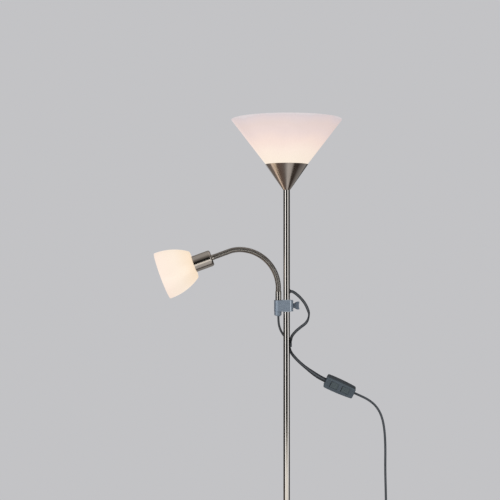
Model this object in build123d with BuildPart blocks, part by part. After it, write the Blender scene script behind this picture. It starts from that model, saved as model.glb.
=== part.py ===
from build123d import *
import math
import os

# Torchiere floor lamp with a reading light on a bendable arm.
# Millimetres, +Z up, origin on the floor under the pole. The reading arm reaches out to -X.

# ---------------------------------------------------------------- driving dimensions
lamp_height = 1800.0  # floor to the rim of the upper shade
shade_rim_radius = 135.0
cup_rim_height = 1691.0
cup_rim_radius = 52.3
pole_radius = 8.0
pole_wall = 1.2
pole_foot = 30.0
pole_top = 1629.0
pole_joint_heights = (535.0, 1040.0)
base_radius = 140.0
wire_exit_height = 1382.6

lamp_thread = 5.0  # radius of the hollow threaded tubes
lamp_thread_bore = 3.5
nipple_length = 46.0
nipple_bottom = 5.4
holder_nipple_top = 1650.0
cup_sheet = 1.2

clamp_bottom = 1334.5
clamp_top = 1361.0
clamp_half_depth = 14.0
screw_height = 1348.0
arm_x = -20.0  # axis of the bendable arm at the clamp

arm_rib_radius = 6.6
arm_valley_radius = 5.9
arm_bore = 3.6
arm_start_height = 1383.0
arm_bend_height = 1389.6
arm_wide_bend = 94.5
arm_tight_bend = 74.5
arm_straight = 38.9  # last stretch, into the reading head
arm_segments = 5
arm_gap = 1.8  # free space between neighbouring segments, where the arm bends

head_tilt = 20.2  # degrees below level
ferrule_length = 5.0
ferrule_lip = 6.9  # radius of the ferrules where they meet the arm
reading_rim_radius = 58.1
head_cup_length = 46.5
reading_shade_depth = 82.4

switch_centre = Vector(129.2, 0, 1151.0)
switch_tilt = 24.0
switch_length = 75.5
switch_wide_end = 29.8
switch_narrow_end = 26.0
switch_thickness = 21.0

flat_cord = 5.0
double_cord = 7.0
supply_cord = 5.6

os.makedirs("parts", exist_ok=True)


def keep(piece, name):
    """Labels a finished piece and writes it to a file of its own."""
    piece.part.label = name
    export_step(piece.part, f"parts/{name}.step")


def turned(outline, plane=Plane.XZ):
    """A round piece from half its section: (radius, height) points, turned about the plane's y axis."""
    with BuildPart() as piece:
        with BuildSketch(plane):
            with BuildLine():
                Polyline(*outline, close=True)
            make_face()
        revolve(axis=Axis(plane.origin, plane.y_dir))
    return piece


def lying_plane(origin, direction):
    """A plane whose y axis runs along a direction in the XZ plane, for pieces turned about it."""
    across = Vector(-direction.Z, 0, direction.X)
    return Plane(origin=origin, x_dir=across, z_dir=across.cross(direction))


# ---------------------------------------------------------------- weighted base
def base():
    pad_thickness = 3.0
    weight_radius, weight_top, recess_radius, recess_top = 128.0, 17.0, 16.0, 12.0
    sheet, rim_height, corner = 1.2, 12.0, 8.0
    crown_radius, crown_height = 13.0, pole_foot
    dome_radius, dome_height = 70.0, 27.2  # a point half-way down the cover's domed top
    washer_radius, washer_thickness = 14.0, 1.6
    collar_height, collar_band = 14.0, 3.0

    with BuildPart() as base_pad:
        with BuildSketch():
            Circle(base_radius - 1)
        extrude(amount=pad_thickness)
        chamfer(base_pad.edges().group_by(Axis.Z)[0], 0.6)
    keep(base_pad, "base_pad")

    hole = lamp_thread + 0.2
    base_weight = turned([
        (hole, recess_top), (recess_radius, recess_top), (recess_radius, pad_thickness),
        (weight_radius, pad_thickness), (weight_radius, weight_top - 3), (weight_radius - 3, weight_top),
        (2.3 * crown_radius, weight_top), (crown_radius - 0.5, crown_height - sheet),
        (hole, crown_height - sheet)])
    keep(base_weight, "base_weight")

    shoulder = base_radius - corner
    slant = corner * math.sqrt(0.5)
    inner_slant = (corner - sheet) * math.sqrt(0.5)
    with BuildPart() as base_cover:
        with BuildSketch(Plane.XZ):
            with BuildLine():
                Line((base_radius, pad_thickness), (base_radius, rim_height))
                ThreePointArc((base_radius, rim_height), (shoulder + slant, rim_height + slant),
                              (shoulder, rim_height + corner))
                ThreePointArc((shoulder, rim_height + corner), (dome_radius, dome_height),
                              (crown_radius, crown_height))
                Polyline((crown_radius, crown_height), (hole, crown_height), (hole, crown_height - sheet),
                         (crown_radius, crown_height - sheet))
                ThreePointArc((crown_radius, crown_height - sheet), (dome_radius, dome_height - sheet),
                              (shoulder, rim_height + corner - sheet))
                ThreePointArc((shoulder, rim_height + corner - sheet),
                              (shoulder + inner_slant, rim_height + inner_slant),
                              (base_radius - sheet, rim_height))
                Polyline((base_radius - sheet, rim_height), (base_radius - sheet, pad_thickness),
                         (base_radius, pad_thickness))
            make_face()
        revolve(axis=Axis.Z)
    keep(base_cover, "base_cover")

    washer_bottom = recess_top - washer_thickness
    base_washer = turned([(lamp_thread + 0.1, washer_bottom), (washer_radius, washer_bottom),
                          (washer_radius, recess_top), (lamp_thread + 0.1, recess_top)])
    keep(base_washer, "base_washer")

    sleeve = pole_radius + 0.05
    base_collar = turned([
        (sleeve, crown_height), (crown_radius, crown_height), (crown_radius, crown_height + collar_band),
        (sleeve + 2.6, crown_height + 2 * collar_band), (sleeve + 1.4, crown_height + collar_height),
        (sleeve, crown_height + collar_height)])
    keep(base_collar, "base_collar")


# ---------------------------------------------------------------- pole in three screwed lengths
def pole():
    bore = pole_radius - pole_wall
    insert_length, coupler_half, coupler_bore = 26.0, 30.0, 4.5
    hole_radius = 3.9

    ends = [pole_foot, *pole_joint_heights, pole_top]
    for name, low, high in zip(("pole_lower", "pole_middle", "pole_upper"), ends, ends[1:]):
        with BuildPart() as tube:
            with BuildSketch(Plane.XY.offset(low)):
                Circle(pole_radius)
                Circle(bore, mode=Mode.SUBTRACT)
            extrude(amount=high - low)
            outer_edges = tube.edges().filter_by(GeomType.CIRCLE).group_by(SortBy.RADIUS)[-1]
            chamfer(outer_edges, 0.25)
            if name == "pole_upper":
                with BuildSketch(Plane.YZ):
                    with Locations((0, wire_exit_height)):
                        Circle(hole_radius)
                extrude(amount=pole_radius + 1, mode=Mode.SUBTRACT)
        keep(tube, name)

    with BuildPart() as pole_couplers:
        for height in pole_joint_heights:
            with BuildSketch(Plane.XY.offset(height - coupler_half)):
                Circle(bore)
                Circle(coupler_bore, mode=Mode.SUBTRACT)
            extrude(amount=2 * coupler_half)
    keep(pole_couplers, "pole_couplers")

    with BuildPart() as pole_inserts:
        for bottom in (pole_foot, pole_top - insert_length):
            with BuildSketch(Plane.XY.offset(bottom)):
                Circle(bore)
                Circle(lamp_thread, mode=Mode.SUBTRACT)
            extrude(amount=insert_length)
    keep(pole_inserts, "pole_inserts")

    # Rubber bush that lines the hole where the flat cord leaves the pole
    flange_radius, flange_reach, lining_depth = 5.0, 1.6, 1.6
    with BuildPart() as wire_grommet:
        with BuildSketch(Plane.YZ):
            with Locations((0, wire_exit_height)):
                Circle(flange_radius)
        extrude(amount=pole_radius + flange_reach)
        with BuildSketch(Plane.XY.offset(wire_exit_height - 10)):
            Circle(pole_radius)
        extrude(amount=20, mode=Mode.SUBTRACT)
        with BuildSketch(Plane.YZ.offset(pole_radius - lining_depth)):
            with Locations((0, wire_exit_height)):
                Circle(hole_radius)
        extrude(amount=lining_depth + 1)
        with BuildSketch(Plane.YZ.offset(pole_radius - lining_depth)):
            with Locations((0, wire_exit_height)):
                Circle(flat_cord / 2 + 0.05)
        extrude(amount=lining_depth + flange_reach, mode=Mode.SUBTRACT)
        fillet(wire_grommet.edges().filter_by(GeomType.CIRCLE).sort_by(Axis.X)[-1], 0.5)
    keep(wire_grommet, "wire_grommet")

    # Lead from the side hole up the inside of the pole to the lamp holder
    lead_radius, lead_bend, lead_rise, lead_top = 2.2, 3.2, 24.0, holder_nipple_top
    with BuildPart() as pole_lead:
        with BuildLine() as lead_line:
            FilletPolyline((pole_radius - lining_depth, 0, wire_exit_height), (-0.6, 0, wire_exit_height + 2),
                           (0, 0, wire_exit_height + lead_rise), (0, 0, lead_top), radius=lead_bend)
        with BuildSketch(Plane(origin=lead_line.line @ 0, z_dir=lead_line.line % 0)):
            Circle(lead_radius)
        sweep()
    keep(pole_lead, "pole_lead")


# ---------------------------------------------------------------- hollow threaded tubes and their nuts
def lamp_hardware():
    """The same short threaded tube and hexagon nut hold the base and the upper holder to the pole."""
    nut_height, nut_flat_radius = 5.0, 6.9
    with BuildPart() as lamp_nipples:
        for bottom in (nipple_bottom, holder_nipple_top - nipple_length):
            with BuildSketch(Plane.XY.offset(bottom)):
                Circle(lamp_thread)
                Circle(lamp_thread_bore, mode=Mode.SUBTRACT)
            extrude(amount=nipple_length)
    keep(lamp_nipples, "lamp_nipples")

    with BuildPart() as lamp_nuts:
        for bottom in (nipple_bottom, pole_top + cup_sheet):
            with BuildSketch(Plane.XY.offset(bottom)):
                RegularPolygon(nut_flat_radius, 6, major_radius=False)
                Circle(lamp_thread, mode=Mode.SUBTRACT)
            extrude(amount=nut_height)
    keep(lamp_nuts, "lamp_nuts")


# ---------------------------------------------------------------- upper light
def upper_light():
    # Spun metal cone that carries the shade
    foot_radius = pole_radius + 0.6
    slope = (cup_rim_radius - foot_radius) / (cup_rim_height - pole_top)
    hole = lamp_thread + 0.1
    shade_cup = turned([
        (hole, pole_top), (foot_radius, pole_top), (cup_rim_radius, cup_rim_height),
        (cup_rim_radius - cup_sheet, cup_rim_height), (foot_radius + cup_sheet * (slope - 1), pole_top + cup_sheet),
        (hole, pole_top + cup_sheet)])
    keep(shade_cup, "shade_cup")

    # Lamp holder with a shoulder under the shade and a thread for the shade ring
    hub_bottom, shoulder_bottom, seat, holder_top, floor = 1640.0, 1655.0, 1660.0, 1701.0, 1662.0
    hub_radius, neck_radius, shoulder_radius, wire_bore = 8.5, 16.0, 20.0, 4.0
    thread_outside, cap_bore = 17.2, 13.35
    main_holder = turned([
        (lamp_thread, hub_bottom), (hub_radius, hub_bottom), (hub_radius, hub_bottom + 6),
        (neck_radius, shoulder_bottom - 4), (neck_radius, shoulder_bottom), (shoulder_radius, shoulder_bottom),
        (shoulder_radius, seat), (thread_outside, seat), (thread_outside, holder_top), (cap_bore, holder_top),
        (cap_bore, floor), (wire_bore, floor), (wire_bore, holder_nipple_top), (lamp_thread, holder_nipple_top)])
    keep(main_holder, "main_holder")

    # Sprung strip of brass that rises from the holder's floor to the bulb's centre contact
    strip, strip_width, strip_end, strip_rise = 0.5, 5.0, 11.0, 4.5
    with BuildPart() as main_contact:
        with BuildSketch(Plane.XZ.offset(-strip_width / 2)):
            with BuildLine():
                Polyline((strip_end, floor), (strip_rise, floor), (-3, floor + strip_rise),
                         (-3, floor + strip_rise + strip), (3, floor + strip_rise + strip),
                         (strip_rise + 0.2, floor + strip), (strip_end, floor + strip), close=True)
            make_face()
        extrude(amount=strip_width)
    keep(main_contact, "main_contact")

    # Frosted cone: a flat collar in the cup and a straight wall up to the rim
    glass, wall_foot = 2.0, 50.7
    wall_slope = (shade_rim_radius - wall_foot) / (lamp_height - cup_rim_height)
    level_wall = glass * math.sqrt(1 + wall_slope ** 2)
    collar_radius = wall_foot - wall_slope * (cup_rim_height - seat)
    with BuildPart() as main_shade:
        with BuildSketch(Plane.XZ) as shade_section:
            with BuildLine():
                Polyline((thread_outside + 0.3, seat), (collar_radius, seat), (shade_rim_radius, lamp_height),
                         (shade_rim_radius - level_wall, lamp_height),
                         (collar_radius + wall_slope * glass - level_wall, seat + glass),
                         (thread_outside + 0.3, seat + glass), close=True)
            make_face()
            fillet(shade_section.vertices().group_by(Axis.Y)[-1], 0.6)
        revolve(axis=Axis.Z)
    keep(main_shade, "main_shade")

    # Threaded ring that clamps the shade, with finger grooves round it
    ring_bottom, ring_height, ring_radius, groove_radius, grooves = seat + glass, 8.0, 23.5, 1.6, 12
    with BuildPart() as shade_ring:
        with BuildSketch(Plane.XZ):
            with BuildLine():
                Polyline((thread_outside, ring_bottom), (ring_radius, ring_bottom), (ring_radius, ring_bottom + 3),
                         (ring_radius - 3, ring_bottom + ring_height), (thread_outside, ring_bottom + ring_height),
                         close=True)
            make_face()
        revolve(axis=Axis.Z)
        with BuildSketch(Plane.XY.offset(ring_bottom)):
            with PolarLocations(ring_radius + 0.5, grooves):
                Circle(groove_radius)
        extrude(amount=ring_height, mode=Mode.SUBTRACT)
    keep(shade_ring, "shade_ring")

    contact_height = floor + strip_rise + strip
    cap_radius, cap_top, tip_radius, globe_radius, globe_height = 13.25, 1698.0, 4.5, 30.0, 1751.0
    main_bulb_cap = turned([(0, contact_height), (tip_radius, contact_height), (tip_radius, contact_height + 2),
                            (cap_radius - 1.25, contact_height + 5), (cap_radius, contact_height + 6),
                            (cap_radius, cap_top), (0, cap_top)])
    keep(main_bulb_cap, "main_bulb_cap")

    lean = globe_radius * math.sqrt(0.5)
    neck_foot, neck_top, neck_end = 12.6, 13.6, cap_top + 6
    with BuildPart() as main_bulb_glass:
        with BuildSketch(Plane.XZ):
            with BuildLine():
                Polyline((0, cap_top), (neck_foot, cap_top), (neck_top, neck_end))
                ThreePointArc((neck_top, neck_end), (0.8 * globe_radius, globe_height - 22),
                              (globe_radius, globe_height))
                ThreePointArc((globe_radius, globe_height), (lean, globe_height + lean),
                              (0, globe_height + globe_radius))
                Line((0, globe_height + globe_radius), (0, cap_top))
            make_face()
        revolve(axis=Axis.Z)
    keep(main_bulb_glass, "main_bulb_glass")


# ---------------------------------------------------------------- sliding clamp of the reading arm
def clamp():
    bush_radius = 9.8
    body_bore = bush_radius + 0.06
    body_right, shim_right, cap_right = 8.5, 10.5, 15.6
    body_left, corner = -30.4, 10.0
    height = clamp_top - clamp_bottom
    boss_centre, boss_radius, boss_bottom = arm_x - 1.2, 8.8, 1323.8
    arm_hole, cord_hole = 5.9, 4.5
    arm_seat = 1338.0
    rivet_y, rivet_heights, rivet_radius = 11.7, (1340.0, 1356.0), 1.3
    thread_radius, screw_depth = 3.0, 5.5

    with BuildPart() as clamp_body:
        with BuildSketch(Plane.XY.offset(clamp_bottom)) as plan:
            with Locations(((body_left + body_right) / 2, 0)):
                Rectangle(body_right - body_left, 2 * clamp_half_depth)
            fillet(plan.vertices().group_by(Axis.X)[0], corner)
            Circle(body_bore, mode=Mode.SUBTRACT)
        extrude(amount=height)
        with BuildSketch(Plane.XY.offset(boss_bottom)):
            with Locations((boss_centre, 0)):
                Circle(boss_radius)
        extrude(amount=clamp_bottom - boss_bottom)
        chamfer(clamp_body.faces().sort_by(Axis.Z)[0].edges(), 1.5)
        with BuildSketch(Plane.XY.offset(arm_seat)):
            with Locations((arm_x, 0)):
                Circle(arm_hole)
        extrude(amount=clamp_top - arm_seat, mode=Mode.SUBTRACT)
        with BuildSketch(Plane.XY.offset(boss_bottom)):
            with Locations((arm_x, 0)):
                Circle(cord_hole)
        extrude(amount=arm_seat - boss_bottom, mode=Mode.SUBTRACT)
        with BuildSketch(Plane.YZ.offset(body_right - screw_depth)):
            for rivet_height in rivet_heights:
                with Locations((rivet_y, rivet_height), (-rivet_y, rivet_height)):
                    Circle(rivet_radius)
        extrude(amount=screw_depth, mode=Mode.SUBTRACT)
    keep(clamp_body, "clamp_body")

    with BuildPart() as clamp_shim:
        with BuildSketch(Plane.YZ.offset(body_right)):
            with Locations((0, (clamp_bottom + clamp_top) / 2)):
                Rectangle(2 * clamp_half_depth, height)
            with Locations((0, screw_height)):
                Circle(thread_radius + 0.3, mode=Mode.SUBTRACT)
            for rivet_height in rivet_heights:
                with Locations((rivet_y, rivet_height), (-rivet_y, rivet_height)):
                    Circle(rivet_radius, mode=Mode.SUBTRACT)
        extrude(amount=shim_right - body_right)
        with BuildSketch(Plane.XY.offset(clamp_bottom)):
            Circle(body_bore)
        extrude(amount=height, mode=Mode.SUBTRACT)
    keep(clamp_shim, "clamp_shim")

    head_radius, head_depth = 2.4, 1.8
    with BuildPart() as clamp_cap:
        with BuildSketch(Plane.YZ.offset(shim_right)):
            with Locations((0, (clamp_bottom + clamp_top) / 2)):
                Rectangle(2 * clamp_half_depth, height)
        extrude(amount=cap_right - shim_right)
        fillet(clamp_cap.faces().sort_by(Axis.X)[-1].edges(), 1.2)
        with BuildSketch(Plane.YZ.offset(shim_right)):
            with Locations((0, screw_height)):
                Circle(thread_radius + 0.05)
            for rivet_height in rivet_heights:
                with Locations((rivet_y, rivet_height), (-rivet_y, rivet_height)):
                    Circle(rivet_radius)
        extrude(amount=cap_right - shim_right, mode=Mode.SUBTRACT)
        with BuildSketch(Plane.YZ.offset(cap_right - head_depth)):
            for rivet_height in rivet_heights:
                with Locations((rivet_y, rivet_height), (-rivet_y, rivet_height)):
                    Circle(head_radius)
        extrude(amount=head_depth, mode=Mode.SUBTRACT)
    keep(clamp_cap, "clamp_cap")

    with BuildPart() as clamp_screws:
        for rivet_height in rivet_heights:
            for side in (-rivet_y, rivet_y):
                with BuildSketch(Plane.YZ.offset(body_right - screw_depth)):
                    with Locations((side, rivet_height)):
                        Circle(rivet_radius)
                extrude(amount=cap_right - head_depth - body_right + screw_depth)
                with BuildSketch(Plane.YZ.offset(cap_right - head_depth)):
                    with Locations((side, rivet_height)):
                        Circle(head_radius)
                extrude(amount=head_depth - 0.3)
    keep(clamp_screws, "clamp_screws")

    # Nylon bush between pole and clamp, with a lip at each end
    lip, lip_radius = 1.0, 11.2
    lip_top, lip_bottom = clamp_top + 0.1, clamp_bottom - 0.1
    bush_bore = pole_radius + 0.05
    clamp_bush = turned([
        (bush_bore, lip_bottom - lip), (lip_radius, lip_bottom - lip), (lip_radius, lip_bottom),
        (bush_radius, lip_bottom), (bush_radius, lip_top), (lip_radius, lip_top), (lip_radius, lip_top + lip),
        (bush_bore, lip_top + lip)])
    keep(clamp_bush, "clamp_bush")

    # Turned tip, thread and bow-tie wings of the clamping screw, and the pad that it presses on the bush
    pad_left, pad_right, pad_radius, tip_radius = bush_radius + 0.06, 12.5, 2.95, 1.25
    hub_left, hub_right, hub_radius, wing_right = 16.1, 21.0, 5.8, 31.4
    along_screw = lying_plane(Vector(0, 0, screw_height), Vector(1, 0, 0))
    screw_pad = turned([(0, pad_left), (pad_radius - 0.35, pad_left), (pad_radius, pad_left + 0.4),
                        (pad_radius, pad_right), (tip_radius + 0.05, pad_right),
                        (tip_radius + 0.05, pad_left + 1), (0, pad_left + 1)], along_screw)
    keep(screw_pad, "screw_pad")

    wing_left, wing_rise, waist, wing_thickness, hollow = 19.6, 9.7, 6.4, 4.2, 1.6
    with BuildPart() as thumbscrew:
        with BuildSketch(along_screw):
            with BuildLine():
                Polyline((0, pad_left + 1.1), (tip_radius, pad_left + 1.1), (tip_radius, pad_right + 0.1),
                         (thread_radius, pad_right + 0.1), (thread_radius, hub_left), (hub_radius - 0.6, hub_left),
                         (hub_radius, hub_left + 0.6), (hub_radius, hub_right - 0.8), (hub_radius - 0.8, hub_right),
                         (0, hub_right), close=True)
            make_face()
        revolve(axis=Axis(along_screw.origin, along_screw.y_dir))
        with BuildSketch(Plane.XZ.offset(-wing_thickness / 2)) as wing_plan:
            with BuildLine() as wing_half:
                ThreePointArc((wing_left, screw_height + waist), (wing_left + 3.6, screw_height + wing_rise - 1),
                              (wing_right - 3, screw_height + wing_rise))
                Line(wing_half.line @ 1, (wing_right, screw_height + wing_rise - 0.8))
                ThreePointArc((wing_right, screw_height + wing_rise - 0.8), (wing_right - hollow, screw_height),
                              (wing_right, screw_height - wing_rise + 0.8))
                Line((wing_right, screw_height - wing_rise + 0.8), (wing_right - 3, screw_height - wing_rise))
                ThreePointArc((wing_right - 3, screw_height - wing_rise),
                              (wing_left + 3.6, screw_height - wing_rise + 1), (wing_left, screw_height - waist))
                Line((wing_left, screw_height - waist), (wing_left, screw_height + waist))
            make_face()
        extrude(amount=wing_thickness)
    keep(thumbscrew, "thumbscrew")

    # Strain relief under the boss, and the turned ferrule that holds the arm
    flange_radius, flange_bottom, cord_bore = 5.6, boss_bottom - 1.4, flat_cord / 2 + 0.05
    arm_axis = lying_plane(Vector(arm_x, 0, 0), Vector(0, 0, 1))
    cord_bush = turned([(cord_bore, flange_bottom), (flange_radius - 1, flange_bottom),
                        (flange_radius, boss_bottom - 0.4), (flange_radius, boss_bottom), (cord_hole, boss_bottom),
                        (cord_hole, arm_seat), (cord_bore, arm_seat)], arm_axis)
    keep(cord_bush, "cord_bush")

    ferrule_radius = 7.3
    lower_ferrule = turned([(arm_bore, arm_seat), (arm_hole, arm_seat), (arm_hole, clamp_top),
                            (ferrule_radius, clamp_top), (ferrule_radius, arm_start_height - 1),
                            (ferrule_lip, arm_start_height), (arm_bore, arm_start_height)], arm_axis)
    keep(lower_ferrule, "lower_ferrule")


# ---------------------------------------------------------------- bendable arm
def arm_lengths():
    """Lengths of the arm's four stretches: up, wide bend, tight bend and the straight run into the head."""
    tilt = math.radians(head_tilt)
    return (arm_bend_height - arm_start_height, arm_wide_bend * math.pi / 2, arm_tight_bend * tilt, arm_straight)


def arm_plane(distance):
    """The plane square to the arm's centre line at a distance from its lower ferrule, x axis along +Y."""
    rise, wide, tight, _ = arm_lengths()
    tilt = math.radians(head_tilt)
    if distance <= rise:
        x, z, turn = arm_x, arm_start_height + distance, 0.0
    elif distance <= rise + wide:
        turn = (distance - rise) / arm_wide_bend
        x = arm_x - arm_wide_bend * (1 - math.cos(turn))
        z = arm_bend_height + arm_wide_bend * math.sin(turn)
    else:
        further = min((distance - rise - wide) / arm_tight_bend, tilt)
        turn = math.pi / 2 + further
        straight = max(0.0, distance - rise - wide - tight)
        x = arm_x - arm_wide_bend - arm_tight_bend * math.sin(further) - straight * math.cos(further)
        z = (arm_bend_height + arm_wide_bend - arm_tight_bend * (1 - math.cos(further))
             - straight * math.sin(further))
    heading = Vector(-math.sin(turn), 0, math.cos(turn))
    return Plane(origin=(x, 0, z), x_dir=(0, 1, 0), z_dir=heading)


def arm():
    ribs, bore_circles = 10, 7
    rib_profile = ((0.06, arm_valley_radius), (0.28, arm_rib_radius), (0.72, arm_rib_radius),
                   (0.94, arm_valley_radius))
    whole = sum(arm_lengths())
    step = (whole + arm_gap) / arm_segments
    for number in range(arm_segments):
        low = number * step
        pitch = (step - arm_gap) / ribs
        with BuildPart() as segment:
            for rib in range(ribs):
                for share, radius in rib_profile:
                    last = rib == ribs - 1 and share == rib_profile[-1][0]
                    first = rib == 0 and share == rib_profile[0][0]
                    place = 1.0 if last else 0.0 if first else share
                    with BuildSketch(arm_plane(low + (rib + place) * pitch)):
                        Circle(radius)
            loft(ruled=True)
            for circle in range(bore_circles):
                with BuildSketch(arm_plane(low + circle * (step - arm_gap) / (bore_circles - 1))):
                    Circle(arm_bore)
            loft(ruled=True, mode=Mode.SUBTRACT)
        keep(segment, f"arm_segment_{number + 1}")
        if number:
            hinge = arm_plane(low - arm_gap / 2).origin
            print(f"arm hinge {number}: x {hinge.X:.2f} z {hinge.Z:.2f}")

    # Lead through the whole arm, from the strain relief to the reading light's holder
    lead_radius, lead_bottom, tail = flat_cord / 2, 1322.4, 17.0
    end = arm_plane(whole)
    inside = end.origin + end.z_dir * tail
    rise, wide, tight, _ = arm_lengths()
    wide_middle, wide_end = arm_plane(rise + wide / 2).origin, arm_plane(rise + wide).origin
    tight_middle, tight_end = arm_plane(rise + wide + tight / 2).origin, arm_plane(rise + wide + tight).origin
    with BuildPart() as arm_lead:
        with BuildLine() as lead_line:
            rise_line = Line((arm_x, 0, lead_bottom), (arm_x, 0, arm_bend_height))
            wide_arc = ThreePointArc(rise_line @ 1, wide_middle, wide_end)
            tight_arc = ThreePointArc(wide_arc @ 1, tight_middle, tight_end)
            Line(tight_arc @ 1, inside)
        with BuildSketch(Plane(origin=lead_line.line @ 0, z_dir=(0, 0, 1))):
            Circle(lead_radius)
        sweep()
    keep(arm_lead, "arm_lead")


# ---------------------------------------------------------------- reading light
def reading_light():
    arm_end = arm_plane(sum(arm_lengths()))
    ahead = arm_end.z_dir
    head_rear = arm_end.origin + ahead * ferrule_length
    axis_plane = lying_plane(head_rear, ahead)
    turning = Axis(axis_plane.origin, axis_plane.y_dir)
    tail_radius, tail_length, sheet = lamp_thread, 12.0, 1.2

    upper_ferrule = turned([(arm_bore, -ferrule_length), (ferrule_lip - 0.7, -ferrule_length),
                            (ferrule_lip, 0.7 - ferrule_length), (ferrule_lip, 0), (tail_radius, 0),
                            (tail_radius, tail_length), (arm_bore, tail_length)], axis_plane)
    keep(upper_ferrule, "upper_ferrule")

    cup_radius, corner = 20.0, 5.0
    slant = corner * math.sqrt(0.5)
    inner_slant = (corner - sheet) * math.sqrt(0.5)
    flat = cup_radius - corner
    with BuildPart() as head_cup:
        with BuildSketch(axis_plane):
            with BuildLine():
                Line((tail_radius + 0.1, 0), (flat, 0))
                ThreePointArc((flat, 0), (flat + slant, corner - slant), (cup_radius, corner))
                Polyline((cup_radius, corner), (cup_radius, head_cup_length),
                         (cup_radius - sheet, head_cup_length), (cup_radius - sheet, corner))
                ThreePointArc((cup_radius - sheet, corner), (flat + inner_slant, corner - inner_slant),
                              (flat, sheet))
                Polyline((flat, sheet), (tail_radius + 0.1, sheet), (tail_radius + 0.1, 0))
            make_face()
        revolve(axis=turning)
    keep(head_cup, "head_cup")

    nut_height, nut_flat_radius = 4.0, 7.5
    with BuildPart() as arm_nut:
        with BuildSketch(Plane(origin=head_rear + ahead * sheet, x_dir=(0, 1, 0), z_dir=ahead)):
            RegularPolygon(nut_flat_radius, 6, major_radius=False)
            Circle(tail_radius, mode=Mode.SUBTRACT)
        extrude(amount=nut_height)
    keep(arm_nut, "arm_nut")

    thread_outside, cap_bore, holder_end, floor = 13.5, 7.05, 56.0, 22.0
    reading_holder = turned([
        (tail_radius, 6), (9, 6), (thread_outside, 11), (thread_outside, holder_end), (cap_bore, holder_end),
        (cap_bore, floor), (arm_bore, floor), (arm_bore, tail_length), (tail_radius, tail_length)], axis_plane)
    keep(reading_holder, "reading_holder")

    # Opal bell: flat back with a hole, then one bulging wall out to the rim
    glass, back_radius, back_rounding = 2.0, 32.8, 6.5
    rim = head_cup_length + reading_shade_depth
    bulge_radius, bulge_place = 51.8, rim - 45
    with BuildPart() as reading_shade:
        with BuildSketch(axis_plane) as shade_section:
            with BuildLine():
                Line((thread_outside + 0.3, head_cup_length), (back_radius, head_cup_length))
                ThreePointArc((back_radius, head_cup_length), (bulge_radius, bulge_place),
                              (reading_rim_radius, rim))
                Line((reading_rim_radius, rim), (reading_rim_radius - glass, rim))
                ThreePointArc((reading_rim_radius - glass, rim), (bulge_radius - 0.95 * glass, bulge_place + 0.8),
                              (back_radius - 1, head_cup_length + glass))
                Polyline((back_radius - 1, head_cup_length + glass), (thread_outside + 0.3, head_cup_length + glass),
                         (thread_outside + 0.3, head_cup_length))
            make_face()
            fillet(shade_section.vertices().group_by(Axis.Y)[-1], 0.8)
            fillet(shade_section.vertices().sort_by_distance((back_radius, head_cup_length))[0], back_rounding)
        revolve(axis=turning)
    keep(reading_shade, "reading_shade")

    ring_start, ring_height, ring_radius, groove_radius, grooves = head_cup_length + glass, 6.0, 18.0, 1.4, 10
    with BuildPart() as reading_ring:
        with BuildSketch(axis_plane):
            with BuildLine():
                Polyline((thread_outside, ring_start), (ring_radius, ring_start), (ring_radius, ring_start + 2.5),
                         (ring_radius - 2, ring_start + ring_height), (thread_outside, ring_start + ring_height),
                         close=True)
            make_face()
        revolve(axis=turning)
        ring_plane = Plane(origin=head_rear + ahead * ring_start, x_dir=(0, 1, 0), z_dir=ahead)
        with BuildSketch(ring_plane):
            with PolarLocations(ring_radius + 0.6, grooves):
                Circle(groove_radius)
        extrude(amount=ring_height, mode=Mode.SUBTRACT)
    keep(reading_ring, "reading_ring")

    cap_radius, cap_end, tip_radius, globe_radius, globe_centre = 6.95, 57.0, 2.5, 22.5, 87.0
    reading_bulb_cap = turned([(0, floor), (tip_radius, floor), (tip_radius, floor + 1.5),
                               (cap_radius - 0.95, floor + 3.5), (cap_radius, floor + 4.5), (cap_radius, cap_end),
                               (0, cap_end)], axis_plane)
    keep(reading_bulb_cap, "reading_bulb_cap")

    lean = globe_radius * math.sqrt(0.5)
    neck_radius, neck_end, neck_slant = 10.0, cap_end + 6, cap_end + 15.5
    with BuildPart() as reading_bulb_glass:
        with BuildSketch(axis_plane):
            with BuildLine():
                Polyline((0, cap_end), (cap_radius, cap_end), (neck_radius, neck_end))
                ThreePointArc((neck_radius, neck_end), (0.82 * globe_radius, neck_slant),
                              (globe_radius, globe_centre))
                ThreePointArc((globe_radius, globe_centre), (lean, globe_centre + lean),
                              (0, globe_centre + globe_radius))
                Line((0, globe_centre + globe_radius), (0, cap_end))
            make_face()
        revolve(axis=turning)
    keep(reading_bulb_glass, "reading_bulb_glass")


# ---------------------------------------------------------------- twin switch in the cord
def switch_frame():
    """The switch's own plane: x along the cord, y across, z out of its face. The face looks slightly down."""
    tilt, roll = math.radians(switch_tilt), math.radians(15)
    along = Vector(math.cos(tilt), 0, -math.sin(tilt))
    up = Vector(math.sin(tilt), 0, math.cos(tilt))
    face = Vector(0, -math.cos(roll), 0) - up * math.sin(roll)
    return Plane(origin=switch_centre, x_dir=along, z_dir=face)


def switch_ends():
    """Where the two cords meet the ends of the switch."""
    along = switch_frame().x_dir * (switch_length / 2)
    return switch_centre - along, switch_centre + along


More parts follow.
